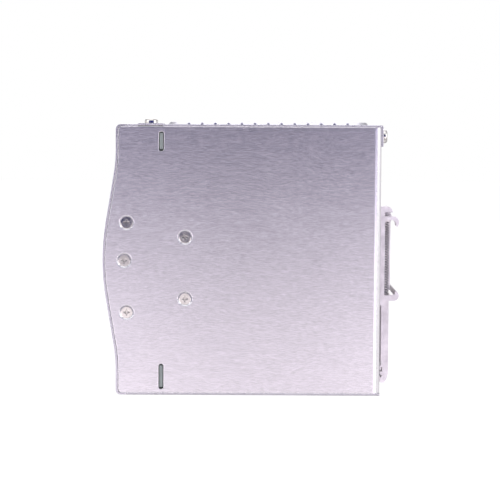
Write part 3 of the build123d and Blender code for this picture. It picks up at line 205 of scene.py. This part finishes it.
def plated(name, color, roughness, mottle=140.0, edge=0.15):
    """Plated or drawn metal: cloudy and a little pitted, with a painted highlight on its edges."""
    p = Paint(name)
    clouds = p.noise(p.place, scale=mottle, detail=6.0, roughness=0.62)
    grain = p.noise(p.place, scale=3800.0, detail=2.0)
    soft, rim = p.rounded(edge * MM)
    tone = p.mix(p.ranged(clouds, 0.32, 0.68, 0.0, 1.0), shade(color, 0.75), shade(color, 1.08))
    # painted highlight: the colour is lifted along the rounded edges
    tone = p.mix(p.math("MULTIPLY", rim, 0.6), tone, shade(color, 1.3))
    pitted = p.math("ADD", clouds, p.math("MULTIPLY", grain, 0.3))
    rough = p.ranged(pitted, 0.4, 0.85, roughness - 0.06, roughness + 0.1)
    return p.finish(tone, rough, p.bump(grain, 0.006 * MM, soft, 0.6), 1.0)


def flat_head(name, color, roughness):
    """Nickel screw: mirror bright, with painted shade in the recess and round the rim, and a painted
    highlight on its edges.
    """
    p = Paint(name)
    clouds = p.noise(p.place, scale=420.0, detail=6.0, roughness=0.62)
    grain = p.noise(p.place, scale=3800.0, detail=2.0)
    soft, rim = p.rounded(0.25 * MM)
    # painted shade: a mask that is 1 in the recess and round the rim, where the head is shut in
    recess_shade = p.ranged(p.openness(1.4 * MM), 0.35, 0.85, 1.0, 0.0)
    tone = p.mix(p.ranged(clouds, 0.32, 0.68, 0.0, 1.0), shade(color, 0.8), shade(color, 1.1))
    # painted highlight: the colour is lifted along the head's rounded edges
    tone = p.mix(p.math("MULTIPLY", rim, 0.7), tone, shade(color, 1.35))
    # painted shade: the recess and the ring round the rim are darkened
    tone = p.mix(p.math("MULTIPLY", recess_shade, 0.3), tone, shade(color, 0.16))
    pitted = p.math("ADD", clouds, p.math("MULTIPLY", grain, 0.3))
    rough = p.ranged(pitted, 0.4, 0.85, roughness - 0.05, roughness + 0.04)
    return p.finish(tone, rough, p.bump(grain, 0.0003 * MM, soft, 0.6), 1.0)


def moulded(name, color, roughness, grain=2400.0, bump=0.014, edge_highlight=1.7):
    """Moulded plastic with spark-eroded grain, faint flow clouds and a painted highlight on its edges.
    """
    p = Paint(name)
    pits = p.noise(p.place, scale=grain, detail=2.0)
    flow = p.noise(p.stretched((60, 60, 22)), detail=4.0)
    soft, rim = p.rounded(0.2 * MM)
    tone = p.mix(p.ranged(flow, 0.3, 0.7, 0.0, 1.0), shade(color, 0.88), shade(color, 1.12))
    # painted highlight: the colour along the rounded edges is lifted by the factor that the caller gives
    tone = p.mix(p.math("MULTIPLY", rim, 0.45), tone, shade(color, edge_highlight))
    rough = p.ranged(p.math("ADD", pits, flow), 0.7, 1.3, roughness - 0.07, roughness + 0.08)
    return p.finish(tone, rough, p.bump(pits, bump * MM, soft, 0.7))


def wound(name, color, gap_shade, turns, axis, metallic=0.0, bump=0.12):
    """Close turns of wire or tape: bands across one axis, with painted shade in the gaps between turns.
    """
    p = Paint(name)
    wander = p.noise(p.place, scale=90.0, detail=3.0)
    wave = p.bands(p.place, axis, turns)
    wave.inputs["Distortion"].default_value = 0.6
    wave.inputs["Detail"].default_value = 2.0
    soft, rim = p.rounded(0.3 * MM)
    band = wave.outputs["Fac"]
    # painted shade: the gaps between turns take the darker colour
    tone = p.mix(p.ranged(band, 0.05, 0.5, 0.0, 1.0), gap_shade, color)
    tone = p.mix(p.ranged(wander, 0.4, 0.7, 0.0, 0.35), tone, shade(color, 0.6))
    # painted highlight: the colour is lifted along the rounded edges
    tone = p.mix(p.math("MULTIPLY", rim, 0.3), tone, shade(color, 1.4))
    rough = p.ranged(wander, 0.3, 0.7, 0.22, 0.38)
    return p.finish(tone, rough, p.bump(band, bump * MM, soft), metallic)


TAB_START = 0.0405  # beyond this X only the boards' tabs, in the side plate's slots, show


def laminate(name, mask, bare):
    """Circuit board: solder mask over woven glass, with paler bare glass at its cut edges."""
    p = Paint(name)
    cloth = {"Vector": p.stretched((1200, 1200, 1200)), "Scale": 1.0, "Mortar Size": 0.04}
    weave = p.add("ShaderNodeTexBrick", cloth)
    cells = {"Vector": p.stretched((150, 420, 420)), "Scale": 1.0}
    tracks = p.add("ShaderNodeTexVoronoi", cells, feature="F1", distance="CHEBYCHEV")
    clouds = p.noise(p.place, scale=120.0, detail=5.0)
    soft, rim = p.rounded(0.35 * MM)
    copper = p.ranged(tracks.outputs["Distance"], 0.42, 0.47, 0.0, 1.0)
    tone = p.mix(p.math("MULTIPLY", copper, 0.45), mask, shade(mask, 1.5))
    tone = p.mix(p.ranged(clouds, 0.35, 0.7, 0.0, 0.25), tone, shade(mask, 0.65))
    tone = p.mix(p.math("MULTIPLY", rim, 0.8), tone, bare)
    across = p.add("ShaderNodeSeparateXYZ", {"Vector": p.place}).outputs["X"]
    in_slot = p.ranged(across, TAB_START - 0.3 * MM, TAB_START, 0.0, 1.0)
    layers = p.noise(p.stretched((300, 6000, 120)), detail=2.0)
    edge_tone = p.mix(p.ranged(layers, 0.35, 0.65, 0.0, 1.0), shade(bare, 0.78), shade(bare, 1.12))
    tone = p.mix(in_slot, tone, edge_tone)
    # painted shade: darker where the board is shut in, such as the tab's ends inside the slot
    tone = p.mix(p.ranged(p.openness(0.9 * MM), 0.45, 0.85, 0.9, 0.0), tone, shade(bare, 0.12))
    rough = p.ranged(clouds, 0.3, 0.7, 0.32, 0.5)
    height = p.math("ADD", p.math("MULTIPLY", weave.outputs["Fac"], 0.3), copper)
    return p.finish(tone, rough, p.bump(height, 0.02 * MM, soft))


def sleeved(name, color, stripe):
    """Shrink sleeve over a can: gloss film, a pale stripe down one side and fine creases."""
    p = Paint(name)
    creases = p.noise(p.stretched((40, 500, 500)), detail=3.0)
    clouds = p.noise(p.place, scale=70.0, detail=4.0)
    soft, rim = p.rounded(0.4 * MM)
    facing = p.add("ShaderNodeNewGeometry").outputs["Normal"]
    facing = p.add("ShaderNodeSeparateXYZ", {"Vector": facing}).outputs
    side = p.math("GREATER_THAN", facing["Z"], 0.93)
    end = p.math("LESS_THAN", facing["X"], -0.8)
    tone = p.mix(p.ranged(clouds, 0.3, 0.7, 0.0, 1.0), shade(color, 0.8), shade(color, 1.2))
    tone = p.mix(side, tone, stripe)
    tone = p.mix(end, tone, (0.62, 0.63, 0.66))
    # painted highlight: the colour is lifted along the rounded edges
    tone = p.mix(p.math("MULTIPLY", rim, 0.3), tone, shade(color, 1.8))
    rough = p.ranged(creases, 0.3, 0.7, 0.22, 0.36)
    return p.finish(tone, rough, p.bump(creases, 0.03 * MM, soft))


def striped_wire(name, first, second):
    """Two-coloured insulation with slanting stripes."""
    p = Paint(name)
    wave = p.bands(p.stretched((1.0, 0.35, 1.0), turn=(0, 0, 0.4)), "X", 150.0)
    grain = p.noise(p.place, scale=1800.0, detail=2.0)
    soft, rim = p.rounded(0.2 * MM)
    tone = p.mix(p.ranged(wave.outputs["Fac"], 0.62, 0.7, 0.0, 1.0), first, second)
    # painted highlight: the colour is lifted along the rounded edges
    tone = p.mix(p.math("MULTIPLY", rim, 0.3), tone, shade(second, 1.3))
    return p.finish(tone, p.ranged(grain, 0.3, 0.7, 0.34, 0.46), p.bump(grain, 0.01 * MM, soft))


def clear_rod(name):
    """Clear plastic that carries the lamp's light."""
    p = Paint(name)
    grain = p.noise(p.place, scale=900.0, detail=3.0)
    soft, rim = p.rounded(0.2 * MM)
    tone = p.mix(p.ranged(grain, 0.3, 0.7, 0.0, 1.0), (0.80, 0.90, 0.80), (0.92, 0.97, 0.92))
    # painted highlight: the rounded edges are turned white
    tone = p.mix(rim, tone, (1.0, 1.0, 1.0))
    rough = p.ranged(grain, 0.3, 0.7, 0.06, 0.16)
    return p.finish(tone, rough, p.bump(grain, 0.004 * MM, soft), Transmission_Weight=0.85, IOR=1.49)


def small_lamp(name):
    """An unlit green lens."""
    p = Paint(name)
    grain = p.noise(p.place, scale=2600.0, detail=3.0)
    soft, rim = p.rounded(0.1 * MM)
    tone = p.mix(p.ranged(grain, 0.3, 0.7, 0.0, 1.0), (0.55, 0.75, 0.42), (0.75, 0.90, 0.60))
    # painted highlight: the rounded edges are turned pale
    tone = p.mix(rim, tone, (0.9, 0.95, 0.8))
    rough = p.ranged(grain, 0.3, 0.7, 0.2, 0.35)
    return p.finish(tone, rough, p.bump(grain, 0.01 * MM, soft), Coat_Weight=0.4)


# ---- one material for each slot in the record ------------------------------------------------
SLOTS = {
    "brushed_case": brushed("brushed_case", (0.80, 0.79, 0.81), 0.22),
    "cover_sheet": brushed("cover_sheet", (0.78, 0.77, 0.81), 0.28, smudge=0.10, crevice_shade=0.9),
    "panel_sheet": brushed("panel_sheet", (0.62, 0.61, 0.65), 0.26, GRAIN_ALONG_X, BRUSHED_X),
    "nickel_screw": flat_head("nickel_screw", (0.78, 0.76, 0.72), 0.09),
    "zinc_steel": plated("zinc_steel", (0.93, 0.89, 0.91), 0.42),
    "spring_wire": plated("spring_wire", (0.36, 0.35, 0.37), 0.18, mottle=600.0, edge=0.05),
    "terminal_housing": moulded("terminal_housing", (0.030, 0.031, 0.034), 0.44, edge_highlight=3.0),
    "tinned_copper": plated("tinned_copper", (0.74, 0.72, 0.68), 0.28),
    "clamp_screw": plated("clamp_screw", (0.66, 0.66, 0.68), 0.28, mottle=500.0),
    "clamp_jaw": plated("clamp_jaw", (0.60, 0.60, 0.62), 0.36, mottle=300.0),
    "board_laminate": laminate("board_laminate", (0.10, 0.17, 0.11), (0.33, 0.365, 0.345)),
    "led_lens": small_lamp("led_lens"),
    "clear_rod": clear_rod("clear_rod"),
    "black_plastic": moulded("black_plastic", (0.035, 0.035, 0.037), 0.40, edge_highlight=2.6),
    "trimmer_housing": moulded("trimmer_housing", (0.05, 0.14, 0.34), 0.36, edge_highlight=1.8),
    "insulation_film": moulded("insulation_film", (0.74, 0.73, 0.66), 0.30, 700.0, 0.02, edge_highlight=1.2),
    "thermal_pad": moulded("thermal_pad", (0.50, 0.54, 0.57), 0.62, grain=1400.0, bump=0.03, edge_highlight=1.1),
    "component_epoxy": moulded("component_epoxy", (0.028, 0.028, 0.030), 0.52, edge_highlight=2.4),
    "capacitor_sleeve": sleeved("capacitor_sleeve", (0.035, 0.045, 0.10), (0.55, 0.58, 0.62)),
    "copper_winding": wound("copper_winding", (0.60, 0.24, 0.09), (0.09, 0.03, 0.015), 190.0, "Z", 0.6),
    "ferrite": moulded("ferrite", (0.060, 0.060, 0.065), 0.58, grain=1100.0, bump=0.05, edge_highlight=1.9),
    "winding_tape": wound("winding_tape", (0.74, 0.52, 0.06), (0.42, 0.26, 0.03), 45.0, "X", bump=0.05),
    "relay_case": moulded("relay_case", (0.05, 0.05, 0.055), 0.34, edge_highlight=2.2),
    "fuse_body": moulded("fuse_body", (0.78, 0.77, 0.72), 0.30, grain=900.0, edge_highlight=1.1),
    "film_capacitor": moulded("film_capacitor", (0.62, 0.50, 0.20), 0.32, edge_highlight=1.3),
    "surge_disc": moulded("surge_disc", (0.06, 0.18, 0.42), 0.28, grain=500.0, bump=0.05, edge_highlight=1.3),
    "standoff_brass": plated("standoff_brass", (0.76, 0.58, 0.26), 0.26),
    "earth_wire": striped_wire("earth_wire", (0.05, 0.22, 0.04), (0.66, 0.55, 0.03)),
}

for entry in frame["record"]["subparts"]:
    node = frame["nodes"][entry["node"]]
    finish = SLOTS[entry["material_slot"]]
    if not node.material_slots:
        node.data.materials.append(finish)
    for material_slot in node.material_slots:
        material_slot.material = finish


# ---- latch springs: wound wire that stretches between the bracket's ears and the ledge --------
WIRE_SIDES = 8


def tube(name, path, radius):
    """A round wire along a path of points, closed at both ends."""
    vertices = []
    faces = []
    normal = Vector((0, 0, 1))
    for i, point in enumerate(path):
        ahead = path[min(i + 1, len(path) - 1)] - path[max(i - 1, 0)]
        ahead.normalize()
        across = normal.cross(ahead)
        if across.length < 1e-6:
            across = Vector((1, 0, 0)).cross(ahead)
        across.normalize()
        normal = ahead.cross(across)
        for side in range(WIRE_SIDES):
            turn = 2 * math.pi * side / WIRE_SIDES
            vertices.append(point + radius * (math.cos(turn) * across + math.sin(turn) * normal))
    for ring in range(len(path) - 1):
        for side in range(WIRE_SIDES):
            a = ring * WIRE_SIDES + side
            b = ring * WIRE_SIDES + (side + 1) % WIRE_SIDES
            faces.append((a, b, b + WIRE_SIDES, a + WIRE_SIDES))
    faces.append(tuple(reversed(range(WIRE_SIDES))))
    faces.append(tuple(range(len(vertices) - WIRE_SIDES, len(vertices))))
    mesh = bpy.data.meshes.new(name)
    mesh.from_pydata(vertices, [], faces)
    mesh.shade_smooth()
    wire = bpy.data.objects.new(name, mesh)
    bpy.context.scene.collection.objects.link(wire)
    return wire


WIRE = 0.24 * MM  # radius
COIL_PITCH = 1.2 * MM
STEPS_PER_TURN = 18

spring_low, spring_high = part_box("latch_springs")
coil_outside = (spring_high.y - spring_low.y) / 2
coil_radius = coil_outside - WIRE
coil_y = (spring_low.y + spring_high.y) / 2
coil_x = spring_high.x - coil_outside
turns = (spring_high.z - spring_low.z - 2 * WIRE) / COIL_PITCH
for side, hand in (("left", -1), ("right", 1)):
    path = []
    steps = int(turns * STEPS_PER_TURN)
    for step in range(steps + 1):
        angle = 2 * math.pi * step / STEPS_PER_TURN
        path.append(Vector((
            hand * coil_x + coil_radius * math.cos(angle),
            coil_y + coil_radius * math.sin(angle),
            spring_low.z + WIRE + COIL_PITCH * step / STEPS_PER_TURN,
        )))
    spring = tube("latch_spring_" + side, path, WIRE)
    spring.data.materials.append(SLOTS["spring_wire"])
    if side == "left":
        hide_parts("latch_springs")
    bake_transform(spring)


# ---- floor, background and light ------------------------------------------------------------
WHITE = (1.0, 1.0, 1.0)
FLOOR_Z = cad_box[0].z - 0.1 * MM
FLOOR_X = (-3.0, 1.35)
FLOOR_Y = (-3.0, 3.0)
FLOOR_GLOW = 1.12
GLOW_SHARE = 0.82


def pale_floor():
    """Near-white paper, which the camera sees as lit from below so that it meets the white sky."""
    p = Paint("pale_floor")
    grain = p.noise(p.place, scale=160.0, detail=3.0)
    tone = p.mix(p.ranged(grain, 0.3, 0.7, 0.0, 1.0), (0.93, 0.93, 0.94), (0.96, 0.96, 0.965))
    material = p.finish(tone, 0.7, p.add("ShaderNodeNewGeometry").outputs["Normal"])
    ray = p.add("ShaderNodeLightPath").outputs["Is Camera Ray"]
    glow = p.add("ShaderNodeEmission", {"Color": WHITE, "Strength": FLOOR_GLOW}).outputs[0]
    both = p.add("ShaderNodeMixShader")
    p.put(both.inputs[0], p.math("MULTIPLY", ray, GLOW_SHARE))
    p.put(both.inputs[1], p.shader.outputs[0])
    p.put(both.inputs[2], glow)
    output = next(n for n in p.tree.nodes if n.type == "OUTPUT_MATERIAL")
    p.put(output.inputs["Surface"], both.outputs[0])
    return material


def floor_sheet():
    """One flat sheet that the case doesn't mirror."""
    mesh = bpy.data.meshes.new("floor")
    corners = [(FLOOR_X[i], FLOOR_Y[j], FLOOR_Z) for i, j in ((0, 0), (1, 0), (1, 1), (0, 1))]
    mesh.from_pydata(corners, [], [(0, 1, 2, 3)])
    sheet = bpy.data.objects.new("floor", mesh)
    mesh.materials.append(pale_floor())
    bpy.context.scene.collection.objects.link(sheet)
    sheet.visible_glossy = False


floor_sheet()

# colours by elevation in degrees. What the side plate mirrors: a dark card above the horizon,
# over a bright table
CARD_SIDE = (
    (-90.0, (1.50, 1.45, 1.50)),
    (-60.0, (0.85, 0.82, 0.86)),
    (-24.0, (0.85, 0.80, 0.85)),
    (-15.0, (1.50, 1.37, 1.48)),
    (-4.7, (1.50, 1.37, 1.48)),
    (-3.5, (0.03, 0.035, 0.13)),
    (20.0, (0.03, 0.035, 0.13)),
    (40.0, (0.50, 0.50, 0.56)),
    (90.0, (0.95, 0.94, 1.00)),
)
# the rest of the studio: a bright band round the horizon, softer above and below
OPEN_SIDE = (
    (-90.0, (1.40, 1.36, 1.40)),
    (-60.0, (0.72, 0.70, 0.73)),
    (-16.0, (0.66, 0.64, 0.67)),
    (-8.0, (1.08, 1.04, 1.08)),
    (6.0, (1.00, 0.98, 1.02)),
    (16.0, (0.58, 0.57, 0.61)),
    (50.0, (0.62, 0.61, 0.65)),
    (90.0, (0.95, 0.94, 1.00)),
)
CARD_FROM, CARD_TO = 0.60, 0.85  # the card fades in over this much of a direction's X
CARD_GAIN = (0.74, 2.2)  # in its middle, and towards its two sides
CARD_GAIN_SPREAD = 0.05  # the square of the direction's Y where the gain is full
BEHIND_FROM, BEHIND_TO = -0.5, -0.9  # directions' X over which the far side greys
BEHIND_GAIN = 0.45


def sky_ramp(sky, height, stops):
    """The colour of the sky at a height that runs from 0 straight down to 1 straight up."""
    node = sky.add("ShaderNodeValToRGB", {"Fac": height})
    elements = node.color_ramp.elements
    elements.remove(elements[0])
    for index, (elevation, glow) in enumerate(stops):
        place_on_ramp = (elevation + 90.0) / 180.0
        if index == 0:
            element = elements[0]
            element.position = place_on_ramp
        else:
            element = elements.new(place_on_ramp)
        element.color = (*glow, 1.0)
    return node.outputs["Color"]


def studio_sky():
    """White to the camera. To everything else, the card on one side and a soft studio around."""
    world = bpy.data.worlds.new("studio")
    bpy.context.scene.world = world
    world.use_nodes = True
    sky = Nodes(world.node_tree)
    direction = sky.add("ShaderNodeTexCoord").outputs["Generated"]
    direction = sky.add("ShaderNodeSeparateXYZ", {"Vector": direction}).outputs
    elevation = sky.math("ARCSINE", direction["Z"])
    height = sky.ranged(elevation, math.radians(-90), math.radians(90), 0.0, 1.0)

    off_centre = sky.math("MULTIPLY", direction["Y"], direction["Y"])
    gain = sky.ranged(off_centre, 0.0, CARD_GAIN_SPREAD, *CARD_GAIN)
    card = sky.scaled(sky_ramp(sky, height, CARD_SIDE), gain)
    facing_card = sky.ranged(direction["X"], CARD_FROM, CARD_TO, 0.0, 1.0, "SMOOTHSTEP")
    around = sky.mix(facing_card, sky_ramp(sky, height, OPEN_SIDE), card)
    behind = sky.ranged(direction["X"], BEHIND_FROM, BEHIND_TO, 1.0, BEHIND_GAIN, "SMOOTHSTEP")
    seen = sky.add("ShaderNodeLightPath").outputs["Is Camera Ray"]
    color = sky.mix(seen, sky.scaled(around, behind), WHITE)
    background = next(node for node in sky.tree.nodes if node.type == "BACKGROUND")
    sky.put(background.inputs["Color"], color)


studio_sky()


CENTRE = Vector((0.0, -0.067, 0.0))
# name, place, size, watts
SOFTBOXES = (
    ("overhead", (0.2, -0.2, 1.1), (1.2, 1.2), 3),
    ("front_left", (0.5, -1.1, 0.5), (0.7, 0.9), 4),
    ("rear_right", (0.45, 0.95, 0.45), (0.5, 0.9), 3),
    ("far_side", (-1.2, -0.1, 0.6), (0.8, 0.8), 4),
)


def softbox(name, place, size, watts):
    """A white area light that faces the middle of the case."""
    light = bpy.data.lights.new(name, "AREA")
    light.shape = "RECTANGLE"
    light.size, light.size_y = size
    light.energy = watts
    lamp = bpy.data.objects.new(name, light)
    lamp.location = place
    lamp.rotation_euler = (CENTRE - Vector(place)).to_track_quat("-Z", "Y").to_euler()
    bpy.context.scene.collection.objects.link(lamp)


for box_name, place, size, watts in SOFTBOXES:
    softbox(box_name, place, size, watts)


# ---- camera -----------------------------------------------------------------------------------
PLATE_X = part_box("chassis")[1].x
CAMERA_DISTANCE = 0.880
CAMERA_HEIGHT = 0.065
AIM_Y = -0.0671
AIM_Z = 0.0049
ROLL = math.radians(0.28)
LENS = 137.6  # mm, on a sensor 36 mm wide

camera_data = bpy.data.cameras.new("camera")
camera_data.sensor_width = 36.0
camera_data.lens = LENS
camera_data.clip_start = 0.01
camera = bpy.data.objects.new("camera", camera_data)
camera_place = Vector((PLATE_X + CAMERA_DISTANCE, AIM_Y, CAMERA_HEIGHT))
aim = Vector((PLATE_X, AIM_Y, AIM_Z))
look = (aim - camera_place).to_track_quat("-Z", "Y").to_matrix().to_4x4()
camera.matrix_world = Matrix.Translation(camera_place) @ look @ Matrix.Rotation(ROLL, 4, "Z")
bpy.context.scene.collection.objects.link(camera)
bpy.context.scene.camera = camera
bpy.context.scene.view_settings.view_transform = "Standard"
